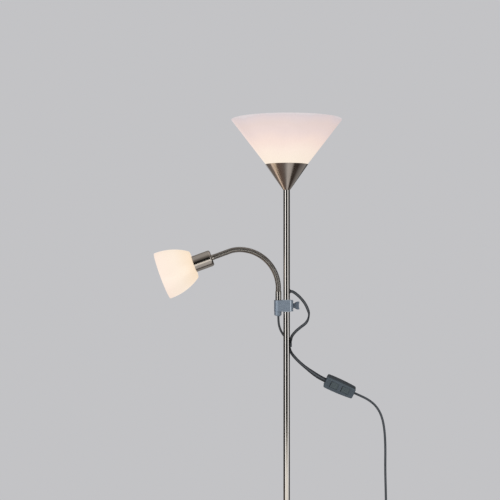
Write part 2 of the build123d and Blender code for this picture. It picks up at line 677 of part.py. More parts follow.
def twin_switch():
    frame = switch_frame()
    half_length, half_depth = switch_length / 2, switch_thickness / 2
    wide_end, narrow_end = switch_wide_end / 2, switch_narrow_end / 2
    middle, corner = (wide_end + narrow_end) / 2 + 1.6, 4.0
    rocker_places, pivot_height, pivot_radius = (-14.5, 14.5), 6.2, 1.2
    pocket_length, pocket_width = 20.4, 15.4
    screw_place, screw_radius, screw_head, screw_sink = 31.5, 1.2, 2.4, 3.0

    def outline():
        """The switch seen from its face: straight ends, the supply end narrower, and bowed long sides."""
        with BuildLine() as edge:
            ThreePointArc((-half_length, -wide_end), (0, -middle), (half_length, -narrow_end))
            Line((half_length, -narrow_end), (half_length, narrow_end))
            ThreePointArc((half_length, narrow_end), (0, middle), (-half_length, wide_end))
            Line((-half_length, wide_end), (-half_length, -wide_end))
        return edge

    with BuildPart() as switch_front:
        with BuildSketch(frame) as front_plan:
            add(outline().line)
            make_face()
            fillet(front_plan.vertices(), corner)
        extrude(amount=half_depth)
        fillet(switch_front.faces().sort_by(Axis(frame.origin, frame.z_dir))[-1].edges(), 1.6)
        with BuildSketch(frame):
            for place in rocker_places:
                with Locations((place, 0)):
                    Rectangle(pocket_length, pocket_width)
        extrude(amount=half_depth, mode=Mode.SUBTRACT)
        for place in rocker_places:
            pivot = frame.from_local_coords(Vector(place, -pocket_width / 2 - 2, pivot_height))
            with BuildSketch(Plane(origin=pivot, x_dir=frame.x_dir, z_dir=frame.y_dir)):
                Circle(pivot_radius + 0.05)
            extrude(amount=pocket_width + 4, mode=Mode.SUBTRACT)
        with BuildSketch(frame):
            with Locations((-screw_place, 0), (screw_place, 0)):
                Circle(screw_radius)
        extrude(amount=6, mode=Mode.SUBTRACT)
    keep(switch_front, "switch_front")

    tray_length, tray_width, tray_depth = 50.0, 19.0, 7.0
    with BuildPart() as switch_back:
        with BuildSketch(frame) as back_plan:
            add(outline().line)
            make_face()
            fillet(back_plan.vertices(), corner)
        extrude(amount=-half_depth)
        fillet(switch_back.faces().sort_by(Axis(frame.origin, frame.z_dir))[0].edges(), 1.6)
        with BuildSketch(frame):
            Rectangle(tray_length, tray_width)
        extrude(amount=-tray_depth, mode=Mode.SUBTRACT)
        with BuildSketch(frame):
            with Locations((-screw_place, 0), (screw_place, 0)):
                Circle(screw_radius)
        extrude(amount=-half_depth, mode=Mode.SUBTRACT)
        with BuildSketch(frame.offset(-half_depth)):
            with Locations((-screw_place, 0), (screw_place, 0)):
                Circle(screw_head)
        extrude(amount=screw_sink, mode=Mode.SUBTRACT)
    keep(switch_back, "switch_back")

    with BuildPart() as switch_screws:
        with BuildSketch(frame.offset(screw_sink - half_depth)):
            with Locations((-screw_place, 0), (screw_place, 0)):
                Circle(screw_radius)
        extrude(amount=half_depth + 2)
        with BuildSketch(frame.offset(0.8 - half_depth)):
            with Locations((-screw_place, 0), (screw_place, 0)):
                Circle(screw_head)
        extrude(amount=screw_sink - 0.8)
    keep(switch_screws, "switch_screws")

    # Terminal block in the back shell: a floor with four ribs that part the wires
    block_floor, rib_spacing, rib_thickness = 2.0, 16.0, 1.6
    with BuildPart() as terminal_block:
        with BuildSketch(frame.offset(-tray_depth)):
            Rectangle(tray_length - 1, tray_width - 1)
        extrude(amount=block_floor)
        with BuildSketch(frame.offset(-tray_depth)):
            with GridLocations(rib_spacing, 0, 4, 1):
                Rectangle(rib_thickness, tray_width - 1)
        extrude(amount=tray_depth - 0.5)
    keep(terminal_block, "terminal_block")

    # Rockers lean six degrees to one side at rest and swing twelve degrees to the other
    lean, half_rocker, rocker_width = 6.0, 9.4, 14.6
    half_crown, crown, shoulder, skirt = 5.0, 2.0, -1.0, -4.6
    for place, name in zip(rocker_places, ("rocker_main", "rocker_reading")):
        pivot = frame.from_local_coords(Vector(place, -rocker_width / 2, pivot_height))
        side = Plane(origin=pivot, x_dir=frame.x_dir.rotate(Axis((0, 0, 0), frame.y_dir), lean),
                     z_dir=frame.y_dir)
        with BuildPart() as rocker:
            with BuildSketch(side):
                with BuildLine():
                    Polyline((-half_rocker, skirt), (-half_rocker + 0.4, shoulder), (-half_crown, crown),
                             (half_crown, crown), (half_rocker - 0.4, shoulder), (half_rocker, skirt),
                             (0, skirt + 1), close=True)
                make_face()
            extrude(amount=rocker_width)
            with BuildSketch(side.offset(-1.6)):
                Circle(pivot_radius)
            extrude(amount=rocker_width + 3.2)
        keep(rocker, name)


# ---------------------------------------------------------------- cords
main_branch_route = (
    (9.6, 0, 1382.6), (13, 0, 1382.6), (18.5, 0.2, 1379.8), (27.8, 0.9, 1372.6), (35.8, 1.8, 1364.6),
    (44, 2.9, 1354.4), (50.6, 4, 1342), (56, 6, 1325.5), (50, 8.5, 1306), (33.5, 11, 1294), (19, 13, 1281),
    (10.5, 14, 1268), (10.5, 14, 1256))
reading_branch_route = (
    (-20, 0, 1322.4), (-20, 0, 1309), (-17.3, 4.5, 1294.5), (-12, 8.5, 1282.5), (-5, 12, 1272.5),
    (1.8, 13.7, 1263.2), (4, 14, 1252))
double_route = (
    (6, 14.2, 1250), (8.2, 13.8, 1238.4), (14.2, 12.7, 1227.9), (27, 10.5, 1213.5), (45, 7.5, 1197.8),
    (66, 3.5, 1182.5), (83.749, 0, 1171.236))
supply_route = (
    (178.304, 0, 1129.136), (197, 0.4, 1120.3), (215.5, 1.5, 1106.3), (230, 3, 1084), (238, 4.5, 1052),
    (241, 5.5, 1008), (240.5, 7, 950), (242.5, 8, 880), (243.5, 8.5, 806), (242, 9.5, 728), (243, 11, 650),
    (245.5, 12, 571), (246, 12, 492), (244.5, 12.5, 413), (244, 14, 334), (245.5, 15.5, 256),
    (246.5, 16, 180), (246, 16.5, 118), (245.3, 17.5, 70), (245.2, 25, 34), (245.4, 39, 12.5),
    (245.8, 57, 4.9), (245.53, 74.41, 4.2))
plug_route = ((168.87, 74.41, 10.3), (169, 58, 8.4), (169.3, 42, 7), (169.3, 27, 7))
sleeve_centre, sleeve_bottom, sleeve_top = (7.0, 14.0), 1246.0, 1256.0

coil_centre, coil_floor, coil_turns = (207.2, 95.0), 4.2, 2
coil_outer_radius = 37.8
coil_step = supply_cord + 0.5  # from one turn to the next, sideways and upwards


def corner_radii(route):
    """As large an arc at each corner as its two runs allow."""
    radii = []
    for before, corner, after in zip(route, route[1:], route[2:]):
        first, second = Vector(corner) - Vector(before), Vector(after) - Vector(corner)
        half_turn = math.radians(first.get_angle(second)) / 2
        radii.append(0.45 * min(first.length, second.length) / math.tan(half_turn))
    return radii


def cord(route, diameter, name):
    """A free stretch of cord: straight runs joined by tangent arcs, swept with a round section."""
    radii = corner_radii(route)
    with BuildPart() as piece:
        with BuildLine() as centre_line:
            FilletPolyline(*route, radius=radii)
        with BuildSketch(Plane(origin=centre_line.line @ 0, z_dir=centre_line.line % 0)):
            Circle(diameter / 2)
        sweep()
    keep(piece, name)
    length = sum(edge.length for edge in centre_line.edges())
    share = piece.part.volume / (math.pi * diameter ** 2 / 4 * length)
    print(f"{name}: length {length:.1f}, volume over section times length {share:.4f}, radii",
          " ".join(f"{radius:.0f}" for radius in radii))


def coil_point(turn):
    """Centre line of the coil: in over the lower layer, up in half a turn, out over the upper layer."""
    whole = 2 * coil_turns + 0.5
    radius = coil_outer_radius - coil_step * min(turn, whole - turn)
    share = min(max((turn - coil_turns) / 0.5, 0.0), 1.0)
    rise = coil_step * share * share * (3 - 2 * share)
    angle = 2 * math.pi * turn
    return Vector(coil_centre[0] + radius * math.cos(angle), coil_centre[1] + radius * math.sin(angle),
                  coil_floor + rise)


def coil_heading(turn):
    """Unit tangent of the coil's centre line."""
    small = 1e-4
    return (coil_point(turn + small) - coil_point(turn - small)).normalized()


def coil_ends():
    """The centres of the coil's two cut ends, one cord diameter beyond its turns."""
    last = 2 * coil_turns + 0.5
    return (coil_point(0) - coil_heading(0) * supply_cord, coil_point(last) + coil_heading(last) * supply_cord)


def coil_gap():
    """The least gap between two turns, measured between points along the centre line."""
    steps_per_turn = 90
    points = [coil_point(step / steps_per_turn) for step in range(int((2 * coil_turns + 0.5) * steps_per_turn) + 1)]
    apart = steps_per_turn // 2
    least = min((points[i] - points[j]).length for i in range(len(points)) for j in range(i + apart, len(points)))
    return least - supply_cord


def coil():
    steps = [number / 4 for number in range(4 * (2 * coil_turns) + 3)]
    first, last = coil_ends()
    with BuildPart() as cord_coil:
        with BuildLine() as centre_line:
            Line(first, coil_point(0))
            for turn, after in zip(steps, steps[1:]):
                start, end = coil_point(turn), coil_point(after)
                leaving, arriving = coil_heading(turn), coil_heading(after)
                chord, both = end - start, leaving + arriving
                spread = 2 * (1 - leaving.dot(arriving))
                reach = (math.sqrt(chord.dot(both) ** 2 + spread * chord.dot(chord)) - chord.dot(both)) / spread
                near, far = start + leaving * reach, end - arriving * reach
                middle = (near + far) * 0.5
                TangentArc(start, middle, tangent=leaving)
                TangentArc(middle, end, tangent=far - near)
            Line(coil_point(steps[-1]), last)
        with BuildSketch(Plane(origin=first, z_dir=coil_heading(0))):
            Circle(supply_cord / 2)
        sweep()
    keep(cord_coil, "cord_coil")
    length = sum(edge.length for edge in centre_line.edges())
    print(f"cord_coil: length {length:.0f}, least gap {coil_gap():.2f}")


def plug_end():
    """The short end of the supply cord, the strap round the coil, and the plug lying on the floor."""
    _, leaving = coil_ends()
    cord((tuple(leaving), *plug_route), supply_cord, "cord_plug_end")

    grip_length, face_width, face_height, relief_length = 36.0, 34.0, 13.6, 14.0
    x, end_y, plug_height = plug_route[-1]
    pin_face = end_y - relief_length - grip_length
    backwards = Plane(origin=(x, pin_face, plug_height), x_dir=(1, 0, 0), z_dir=(0, 1, 0))
    with BuildPart() as plug_body:
        for back, width, height in ((0, face_width, face_height), (12, face_width - 2, face_height),
                                    (26, 19, 11), (grip_length, 11, 9.5)):
            with BuildSketch(backwards.offset(back)):
                RectangleRounded(width, height, 3.4)
        loft()
        for number in range(4):
            with BuildSketch(backwards.offset(grip_length + number * 3.5)):
                Circle(4.4 - 0.35 * number)
            extrude(amount=2.4)
        with BuildSketch(backwards.offset(grip_length)):
            Circle(supply_cord / 2 + 0.4)
        extrude(amount=relief_length)
    keep(plug_body, "plug_body")

    pin_radius, pin_spacing, pin_length = 2.0, 19.0, 19.0
    with BuildPart() as plug_pins:
        with BuildSketch(backwards):
            with Locations((-pin_spacing / 2, 0), (pin_spacing / 2, 0)):
                Circle(pin_radius)
        extrude(amount=-pin_length)
        fillet(plug_pins.faces().sort_by(Axis.Y)[:2].edges(), 1.2)
    keep(plug_pins, "plug_pins")

    strap, strap_width, room = 1.0, 9.0, 0.25
    outer = coil_outer_radius + supply_cord / 2 + room
    inner = coil_outer_radius - coil_step * (coil_turns + 0.25) - supply_cord / 2 - room
    low, high = coil_floor - supply_cord / 2 - room, coil_floor + coil_step + supply_cord / 2 + room
    centre = ((inner + outer) / 2, (low + high) / 2)
    away = Plane(origin=(*coil_centre, 0), x_dir=(math.sqrt(0.5), math.sqrt(0.5), 0),
                 z_dir=(math.sqrt(0.5), -math.sqrt(0.5), 0))
    with BuildPart() as coil_tie:
        with BuildSketch(away.offset(-strap_width / 2)):
            with Locations(centre):
                RectangleRounded(outer - inner + 2 * strap, high - low + 2 * strap, 2.5)
                RectangleRounded(outer - inner, high - low, 1.5, mode=Mode.SUBTRACT)
        extrude(amount=strap_width)
    keep(coil_tie, "coil_tie")


def cords():
    before, after = switch_ends()
    cord(main_branch_route, flat_cord, "cord_main_branch")
    cord(reading_branch_route, flat_cord, "cord_reading_branch")
    cord((*double_route, tuple(before)), double_cord, "cord_double")
    into_coil, _ = coil_ends()
    cord((tuple(after), *supply_route, tuple(into_coil)), supply_cord, "cord_supply")

    with BuildPart() as cord_sleeve:
        with BuildSketch(Plane.XY.offset(sleeve_bottom)):
            with Locations(sleeve_centre):
                SlotOverall(12.5, 7.6)
        extrude(amount=sleeve_top - sleeve_bottom)
        fillet(cord_sleeve.faces().sort_by(Axis.Z)[0].edges(), 0.6)
    keep(cord_sleeve, "cord_sleeve")


base()
pole()
lamp_hardware()
upper_light()
clamp()
arm()
reading_light()
twin_switch()
cords()
coil()
plug_end()
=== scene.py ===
import bpy
import math
from mathutils import Matrix, Vector


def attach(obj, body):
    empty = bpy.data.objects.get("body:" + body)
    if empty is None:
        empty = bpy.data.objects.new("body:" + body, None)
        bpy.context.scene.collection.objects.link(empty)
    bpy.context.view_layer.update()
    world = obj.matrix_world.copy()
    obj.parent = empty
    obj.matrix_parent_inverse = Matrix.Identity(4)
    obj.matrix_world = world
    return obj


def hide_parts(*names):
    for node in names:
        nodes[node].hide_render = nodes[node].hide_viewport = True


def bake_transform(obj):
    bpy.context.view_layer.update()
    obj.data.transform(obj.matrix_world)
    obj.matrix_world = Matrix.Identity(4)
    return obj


# Looks of the torchiere floor lamp with its reading light.
# Metres, +Z up, pole on the Z axis, reading arm towards -X, cords towards +X, viewer at -Y.

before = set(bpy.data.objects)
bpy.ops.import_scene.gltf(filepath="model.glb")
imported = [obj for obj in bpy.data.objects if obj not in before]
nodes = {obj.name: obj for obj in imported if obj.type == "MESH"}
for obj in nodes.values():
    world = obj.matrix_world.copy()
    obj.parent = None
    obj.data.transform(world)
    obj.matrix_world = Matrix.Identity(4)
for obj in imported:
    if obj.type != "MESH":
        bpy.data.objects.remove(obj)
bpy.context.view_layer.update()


# ---------------------------------------------------------------- camera
camera_place = Vector((-0.089, -2.600, 1.483))
camera_lens = 77.0
camera_sensor = 36.0

camera_data = bpy.data.cameras.new("camera")
camera_data.lens = camera_lens
camera_data.sensor_width = camera_sensor
camera = bpy.data.objects.new("camera", camera_data)
camera.location = camera_place
camera.rotation_euler = (math.radians(90), 0, 0)
bpy.context.scene.collection.objects.link(camera)
bpy.context.scene.camera = camera


# ---------------------------------------------------------------- node helpers
def new_material(name):
    """An empty node material with one Principled shader."""
    material = bpy.data.materials.new(name)
    material.use_nodes = True
    tree = material.node_tree
    tree.nodes.clear()
    output = tree.nodes.new("ShaderNodeOutputMaterial")
    shader = tree.nodes.new("ShaderNodeBsdfPrincipled")
    tree.links.new(shader.outputs["BSDF"], output.inputs["Surface"])
    return material, tree, shader


def math_node(tree, operation, first, second=None):
    """A Math node on sockets or plain numbers."""
    node = tree.nodes.new("ShaderNodeMath")
    node.operation = operation
    for socket, value in zip(node.inputs, (first, second)):
        if isinstance(value, bpy.types.NodeSocket):
            tree.links.new(value, socket)
        elif value is not None:
            socket.default_value = value
    return node.outputs[0]


def blended(tree, first, second, share):
    """Two values added, the first by a share and the second by the rest."""
    return math_node(tree, "ADD", math_node(tree, "MULTIPLY", first, share),
                     math_node(tree, "MULTIPLY", second, 1 - share))


def axes(tree, vector):
    """The X, Y and Z sockets of a vector."""
    split = tree.nodes.new("ShaderNodeSeparateXYZ")
    tree.links.new(vector, split.inputs["Vector"])
    return split.outputs


def own_place(tree, shift=(0, 0, 0), turn=(0, 0, 0)):
    """The piece's own coordinates in metres, moved and turned so that an axis of the piece becomes z."""
    place = tree.nodes.new("ShaderNodeTexCoord")
    mapping = tree.nodes.new("ShaderNodeMapping")
    mapping.vector_type = "TEXTURE"
    mapping.inputs["Location"].default_value = shift
    mapping.inputs["Rotation"].default_value = turn
    tree.links.new(place.outputs["Object"], mapping.inputs["Vector"])
    return mapping.outputs["Vector"]


def scaled(tree, vector, scale):
    """A vector times one number for each axis."""
    mapping = tree.nodes.new("ShaderNodeMapping")
    mapping.inputs["Scale"].default_value = scale
    tree.links.new(vector, mapping.inputs["Vector"])
    return mapping.outputs["Vector"]


def noise(tree, vector, scale, detail=3.0, roughness=0.55):
    """Noise between 0 and 1 on a vector."""
    texture = tree.nodes.new("ShaderNodeTexNoise")
    texture.inputs["Scale"].default_value = scale
    texture.inputs["Detail"].default_value = detail
    texture.inputs["Roughness"].default_value = roughness
    tree.links.new(vector, texture.inputs["Vector"])
    return texture.outputs["Fac"]


def in_range(tree, value, low, high, to_low=0.0, to_high=1.0):
    """A value carried from one range to another, without going past its ends."""
    node = tree.nodes.new("ShaderNodeMapRange")
    for socket, number in zip(("From Min", "From Max", "To Min", "To Max"), (low, high, to_low, to_high)):
        node.inputs[socket].default_value = number
    tree.links.new(value, node.inputs["Value"])
    return node.outputs["Result"]


def ramp(tree, value, stops):
    """Colours by a value from 0 to 1: (place, colour) stops."""
    node = tree.nodes.new("ShaderNodeValToRGB")
    elements = node.color_ramp.elements
    while len(elements) < len(stops):
        elements.new(0.5)
    for element, (place, colour) in zip(elements, stops):
        element.position = place
        element.color = (*colour, 1)
    tree.links.new(value, node.inputs["Fac"])
    return node.outputs["Color"]


def bump(tree, shader, height, depth):
    """Surface relief of a real depth in metres."""
    node = tree.nodes.new("ShaderNodeBump")
    node.inputs["Strength"].default_value = 1.0
    node.inputs["Distance"].default_value = depth
    tree.links.new(height, node.inputs["Height"])
    tree.links.new(node.outputs["Normal"], shader.inputs["Normal"])


def round_place(tree, place, per_turn, per_metre):
    """A vector whose x goes round the z axis and whose y goes along it, for streaks on a turned piece."""
    own = axes(tree, place)
    turn = math_node(tree, "ARCTAN2", own["Y"], own["X"])
    joined = tree.nodes.new("ShaderNodeCombineXYZ")
    tree.links.new(math_node(tree, "MULTIPLY", turn, per_turn), joined.inputs["X"])
    tree.links.new(math_node(tree, "MULTIPLY", own["Z"], per_metre), joined.inputs["Y"])
    return joined.outputs["Vector"]


# ---------------------------------------------------------------- kinds of material
# Most values of a noise lie between these two, and the streaks of metal between the narrower two
noise_low, noise_high = 0.3, 0.7
streaks_low, streaks_high = 0.32, 0.68
# Least and greatest roughness of a surface, as a share of its own
metal_gloss, plastic_gloss = (0.85, 1.2), (0.88, 1.12)
streak_share, streak_scale, smudge_scale = 0.75, 3.0, 38.0
slow_share, slow_scale = 0.6, 45.0
plastic_grain, rubber_grain = 1600.0, 900.0
brushed_depth, grain_depth, frost_depth, felt_depth = 0.00002, 0.00003, 0.00002, 0.0003


def two_tone(tree, shader, value, dark, light):
    """Base colour from dark to light by a noise."""
    tree.links.new(ramp(tree, value, ((noise_low, dark), (noise_high, light))), shader.inputs["Base Color"])


def uneven_gloss(tree, shader, value, rough, spread):
    """Roughness that changes by a noise."""
    gloss = in_range(tree, value, noise_low, noise_high, rough * spread[0], rough * spread[1])
    tree.links.new(gloss, shader.inputs["Roughness"])


def metal(name, dark, light, rough, place_of=(), per_turn=26.0, per_metre=2.0, depth=brushed_depth):
    """Satin nickel with fine streaks along the piece's axis, faint smudges and uneven gloss."""
    material, tree, shader = new_material(name)
    place = own_place(tree, *place_of)
    streaks = noise(tree, round_place(tree, place, per_turn, per_metre), streak_scale, detail=4.0, roughness=0.7)
    both = blended(tree, streaks, noise(tree, place, smudge_scale), streak_share)
    tree.links.new(ramp(tree, both, ((streaks_low, dark), (streaks_high, light))), shader.inputs["Base Color"])
    uneven_gloss(tree, shader, both, rough, metal_gloss)
    shader.inputs["Metallic"].default_value = 1.0
    if depth:
        bump(tree, shader, streaks, depth)
    return material


def plastic(name, dark, light, rough, grain=plastic_grain, depth=grain_depth, bands=(), span=(), place_of=()):
    """Moulded plastic or rubber with a fine grain, slow changes of colour and uneven gloss.

    Bands are stops of painted highlight and painted shade that its colour is multiplied by, over a span of the
    piece's own x.
    """
    material, tree, shader = new_material(name)
    place = own_place(tree, *place_of)
    slow, fine = noise(tree, place, slow_scale), noise(tree, place, grain, detail=2.0)
    both = blended(tree, slow, fine, slow_share)
    if bands:
        painted_light_colour = tree.nodes.new("ShaderNodeVectorMath")
        painted_light_colour.operation = "MULTIPLY"
        tree.links.new(ramp(tree, both, ((noise_low, dark), (noise_high, light))), painted_light_colour.inputs[0])
        tree.links.new(ramp(tree, in_range(tree, axes(tree, place)["X"], *span), bands), painted_light_colour.inputs[1])
        tree.links.new(painted_light_colour.outputs["Vector"], shader.inputs["Base Color"])
    else:
        two_tone(tree, shader, both, dark, light)
    uneven_gloss(tree, shader, slow, rough, plastic_gloss)
    bump(tree, shader, fine, depth)
    return material


def flat_plastic(name, edge, face, rough):
    """A flat cord's plastic: paler on the flat of its two faces than round its edges, where the darker colour is
    painted shade.
    """
    face_until, shade_from, waver = 0.12, 0.42, 0.06
    material, tree, shader = new_material(name)
    across = tree.nodes.new("ShaderNodeAttribute")
    across.attribute_name = "across"
    fine = noise(tree, own_place(tree), rubber_grain, detail=2.0)
    shifted = math_node(tree, "ADD", across.outputs["Fac"],
                        in_range(tree, fine, noise_low, noise_high, -waver, waver))
    tree.links.new(ramp(tree, shifted, ((face_until, face), (shade_from, edge))), shader.inputs["Base Color"])
    uneven_gloss(tree, shader, fine, rough, plastic_gloss)
    bump(tree, shader, fine, grain_depth)
    return material


def lit_shade(name, place_of, near, far, glow_stops, rough, tint_stops):
    """Frosted plastic lit from within: its glow fades along the shade's axis, from near the bulb to the rim."""
    cloud_scale, cloud_shift, frost_scale = 14.0, 0.05, 900.0
    material, tree, shader = new_material(name)
    place = own_place(tree, *place_of)
    along = in_range(tree, axes(tree, place)["Z"], near, far)
    clouds = noise(tree, place, cloud_scale, detail=2.0)
    shifted = math_node(tree, "ADD", along,
                        in_range(tree, clouds, noise_low, noise_high, -cloud_shift, cloud_shift))
    tree.links.new(ramp(tree, shifted, glow_stops), shader.inputs["Emission Color"])
    shader.inputs["Emission Strength"].default_value = 1.0
    tree.links.new(ramp(tree, shifted, tint_stops), shader.inputs["Base Color"])
    shader.inputs["Roughness"].default_value = rough
    bump(tree, shader, noise(tree, place, frost_scale, detail=2.0), frost_depth)
    return material


def felt(name, dark, light):
    """Pressed felt: matt, with short fibres."""
    fibre_scale, flattened = 700.0, (1, 1, 3)
    material, tree, shader = new_material(name)
    fibres = noise(tree, scaled(tree, own_place(tree), flattened), fibre_scale, detail=5.0, roughness=0.7)
    two_tone(tree, shader, fibres, dark, light)
    shader.inputs["Roughness"].default_value = 0.95
    shader.inputs["Sheen Weight"].default_value = 0.3
    bump(tree, shader, fibres, felt_depth)
    return material


def bulb(name, colour, strength):
    """Opal bulb glass with a warm and nearly even glow."""
    cloud_scale, least_glow = 30.0, 0.9
    material, tree, shader = new_material(name)
    clouds = noise(tree, own_place(tree), cloud_scale, detail=2.0)
    dimmer = tuple(least_glow * part for part in colour)
    tree.links.new(ramp(tree, clouds, ((noise_low, dimmer), (noise_high, colour))), shader.inputs["Emission Color"])
    shader.inputs["Base Color"].default_value = (0.8, 0.76, 0.68, 1)
    shader.inputs["Emission Strength"].default_value = strength
    shader.inputs["Roughness"].default_value = 0.2
    return material


# ---------------------------------------------------------------- the lamp's own materials
# The reading light's axis starts here and is tilted down by this angle
head_place, head_tilt = Vector((-0.18142, 0, 1.46436)), math.radians(20.2)
head_axis = (head_place, (0, -math.radians(90) - head_tilt, 0))

nickel_pole = metal("nickel_pole", (0.53, 0.51, 0.49), (0.60, 0.58, 0.56), 0.09, per_turn=9.0, depth=0.0)
nickel_cup = metal("nickel_cup", (0.42, 0.38, 0.35), (0.66, 0.62, 0.58), 0.17, per_turn=14.0, depth=0.000004)
nickel_head = metal("nickel_head", (0.44, 0.41, 0.38), (0.60, 0.57, 0.54), 0.17, head_axis,
                    per_turn=14.0, depth=0.000004)
nickel_turned = metal("nickel_turned", (0.40, 0.39, 0.37), (0.50, 0.49, 0.47), 0.12,
                      per_turn=0.6, per_metre=900.0, depth=0.0)
nickel_arm = metal("nickel_arm", (0.26, 0.25, 0.24), (0.42, 0.41, 0.395), 0.12,
                   per_turn=2.0, per_metre=60.0, depth=0.0)
nickel_base = metal("nickel_base", (0.50, 0.48, 0.46), (0.60, 0.58, 0.56), 0.26, per_turn=1.0, per_metre=30.0)
zinc_steel = metal("zinc_steel", (0.52, 0.52, 0.50), (0.64, 0.64, 0.62), 0.35, per_turn=4.0)
brass = metal("brass", (0.70, 0.52, 0.22), (0.82, 0.64, 0.32), 0.3)
bulb_cap = metal("bulb_cap", (0.66, 0.66, 0.64), (0.78, 0.78, 0.76), 0.3, per_turn=1.0, per_metre=900.0)
pin_metal = metal("pin_metal", (0.66, 0.66, 0.65), (0.78, 0.78, 0.77), 0.25)
cast_iron = plastic("cast_iron", (0.05, 0.05, 0.055), (0.09, 0.09, 0.095), 0.6, grain=500.0, depth=0.0002)

slate_plastic = plastic("slate_plastic", (0.165, 0.204, 0.248), (0.197, 0.242, 0.292), 0.42)
# Painted shade makes the side edge of the clamp's boss darker, and a painted highlight makes its face paler than the
# rest of the body
clamp_shade_and_highlight = ((0.0, (0.72, 0.72, 0.74)), (0.19, (0.72, 0.72, 0.74)), (0.25, (1.36, 1.36, 1.36)),
               (0.68, (1.36, 1.36, 1.36)), (0.76, (1, 1, 1)), (1.0, (1, 1, 1)))
clamp_plastic = plastic("clamp_plastic", (0.165, 0.204, 0.248), (0.197, 0.242, 0.292), 0.42,
                        bands=clamp_shade_and_highlight, span=(-0.0290, -0.0190))
cap_plastic = plastic("cap_plastic", (0.105, 0.132, 0.165), (0.130, 0.162, 0.20), 0.42)

# Across the switch, a painted highlight makes the upper edge of its face paler and painted shade makes the slope
# beyond it darker
switch_axis = ((0.1292, 0, 1.151), (0, -math.radians(66), 0))
switch_highlight_and_shade = ((0.0, (1, 1, 1)), (0.28, (1, 1, 1)), (0.36, (1.25, 1.28, 1.22)), (0.44, (1.25, 1.28, 1.22)),
                (0.54, (0.66, 0.66, 0.66)), (1.0, (0.6, 0.6, 0.6)))
switch_plastic = plastic("switch_plastic", (0.052, 0.069, 0.084), (0.074, 0.096, 0.116), 0.5,
                         bands=switch_highlight_and_shade, span=(0.005, 0.015), place_of=switch_axis)
rocker_plastic = plastic("rocker_plastic", (0.054, 0.074, 0.083), (0.074, 0.098, 0.106), 0.5)

grey_cord = plastic("grey_cord", (0.042, 0.050, 0.058), (0.062, 0.072, 0.083), 0.35, grain=rubber_grain)
# The darker of the twin cord's two colours is painted shade round its edges
twin_cord = flat_plastic("twin_cord", (0.020, 0.024, 0.029), (0.088, 0.098, 0.109), 0.4)
sleeve_rubber = plastic("sleeve_rubber", (0.030, 0.036, 0.043), (0.044, 0.052, 0.06), 0.5, grain=rubber_grain)
plug_plastic = plastic("plug_plastic", (0.034, 0.042, 0.052), (0.052, 0.062, 0.075), 0.42)
holder_plastic = plastic("holder_plastic", (0.60, 0.57, 0.52), (0.70, 0.67, 0.62), 0.45)
pale_nylon = plastic("pale_nylon", (0.50, 0.57, 0.63), (0.58, 0.65, 0.71), 0.45)
dark_rubber = plastic("dark_rubber", (0.02, 0.022, 0.026), (0.03, 0.034, 0.04), 0.55)
base_felt = felt("base_felt", (0.025, 0.025, 0.028), (0.05, 0.05, 0.055))
tie_cloth = felt("tie_cloth", (0.012, 0.012, 0.014), (0.03, 0.03, 0.033))
bulb_glow = bulb("bulb_glow", (1.0, 0.86, 0.66), 1.3)

shade_tint = ((0.0, (0.20, 0.19, 0.18)), (1.0, (0.22, 0.21, 0.21)))
cup_rim, shade_rim = 1.691, 1.800
upper_glow = ((0.0, (0.80, 0.69, 0.57)), (0.25, (0.796, 0.658, 0.562)), (0.45, (0.754, 0.587, 0.517)),
              (0.65, (0.658, 0.52, 0.49)), (0.8, (0.614, 0.488, 0.454)), (0.92, (0.573, 0.472, 0.469)),
              (0.965, (0.53, 0.455, 0.462)), (0.985, (0.54, 0.485, 0.495)), (1.0, (0.54, 0.485, 0.495)))
frosted_shade = lit_shade("frosted_shade", (), cup_rim, shade_rim, upper_glow, 0.45, shade_tint)

bell_back, bell_rim = 0.0465, 0.1289
bell_glow = ((0.0, (0.80, 0.63, 0.45)), (0.45, (0.80, 0.675, 0.545)), (0.85, (0.80, 0.66, 0.545)),
             (1.0, (0.79, 0.64, 0.535)))
opal_shade = lit_shade("opal_shade", head_axis, bell_back, bell_rim, bell_glow, 0.3, shade_tint)

finishes = {
    nickel_base: ("base_cover",),
    nickel_turned: ("base_collar", "lower_ferrule", "upper_ferrule"),
    nickel_pole: ("pole_lower", "pole_middle", "pole_upper"),
    nickel_cup: ("shade_cup",),
    nickel_head: ("head_cup",),
    nickel_arm: tuple(f"arm_segment_{number}" for number in range(1, 6)),
    zinc_steel: ("base_washer", "lamp_nipples", "lamp_nuts", "pole_couplers", "pole_inserts", "clamp_screws",
                 "arm_nut", "switch_screws"),
    brass: ("main_contact",),
    bulb_cap: ("main_bulb_cap", "reading_bulb_cap"),
    pin_metal: ("plug_pins",),
    cast_iron: ("base_weight",),
    base_felt: ("base_pad",),
    tie_cloth: ("coil_tie",),
    slate_plastic: ("cord_bush",),
    clamp_plastic: ("clamp_body",),
    cap_plastic: ("clamp_cap", "thumbscrew"),
    pale_nylon: ("clamp_shim", "clamp_bush", "screw_pad"),
    switch_plastic: ("switch_front", "switch_back"),
    rocker_plastic: ("rocker_main", "rocker_reading"),
    holder_plastic: ("main_holder", "shade_ring", "reading_holder", "reading_ring", "terminal_block"),
    grey_cord: ("pole_lead", "arm_lead", "cord_main_branch", "cord_reading_branch", "cord_double", "cord_supply",
                "cord_coil", "cord_plug_end"),
    sleeve_rubber: ("cord_sleeve",),
    plug_plastic: ("plug_body",),
    dark_rubber: ("wire_grommet",),
    frosted_shade: ("main_shade",),
    opal_shade: ("reading_shade",),
    bulb_glow: ("main_bulb_glass", "reading_bulb_glass"),
}


def paint(piece, material):
    """One material on every slot of a piece."""
    if not piece.material_slots:
        piece.data.materials.append(material)
    for slot in piece.material_slots:
        slot.material = material


for finish, names in finishes.items():
    for node_name in names:
        paint(nodes[node_name], finish)


# ---------------------------------------------------------------- mesh helpers
def new_mesh(name, points, faces, material):
    """A smooth mesh object from points and faces."""
    mesh = bpy.data.meshes.new(name)
    mesh.from_pydata(points, [], faces)
    mesh.shade_smooth()
    piece = bpy.data.objects.new(name, mesh)
    bpy.context.scene.collection.objects.link(piece)
    piece.data.materials.append(material)
    return piece


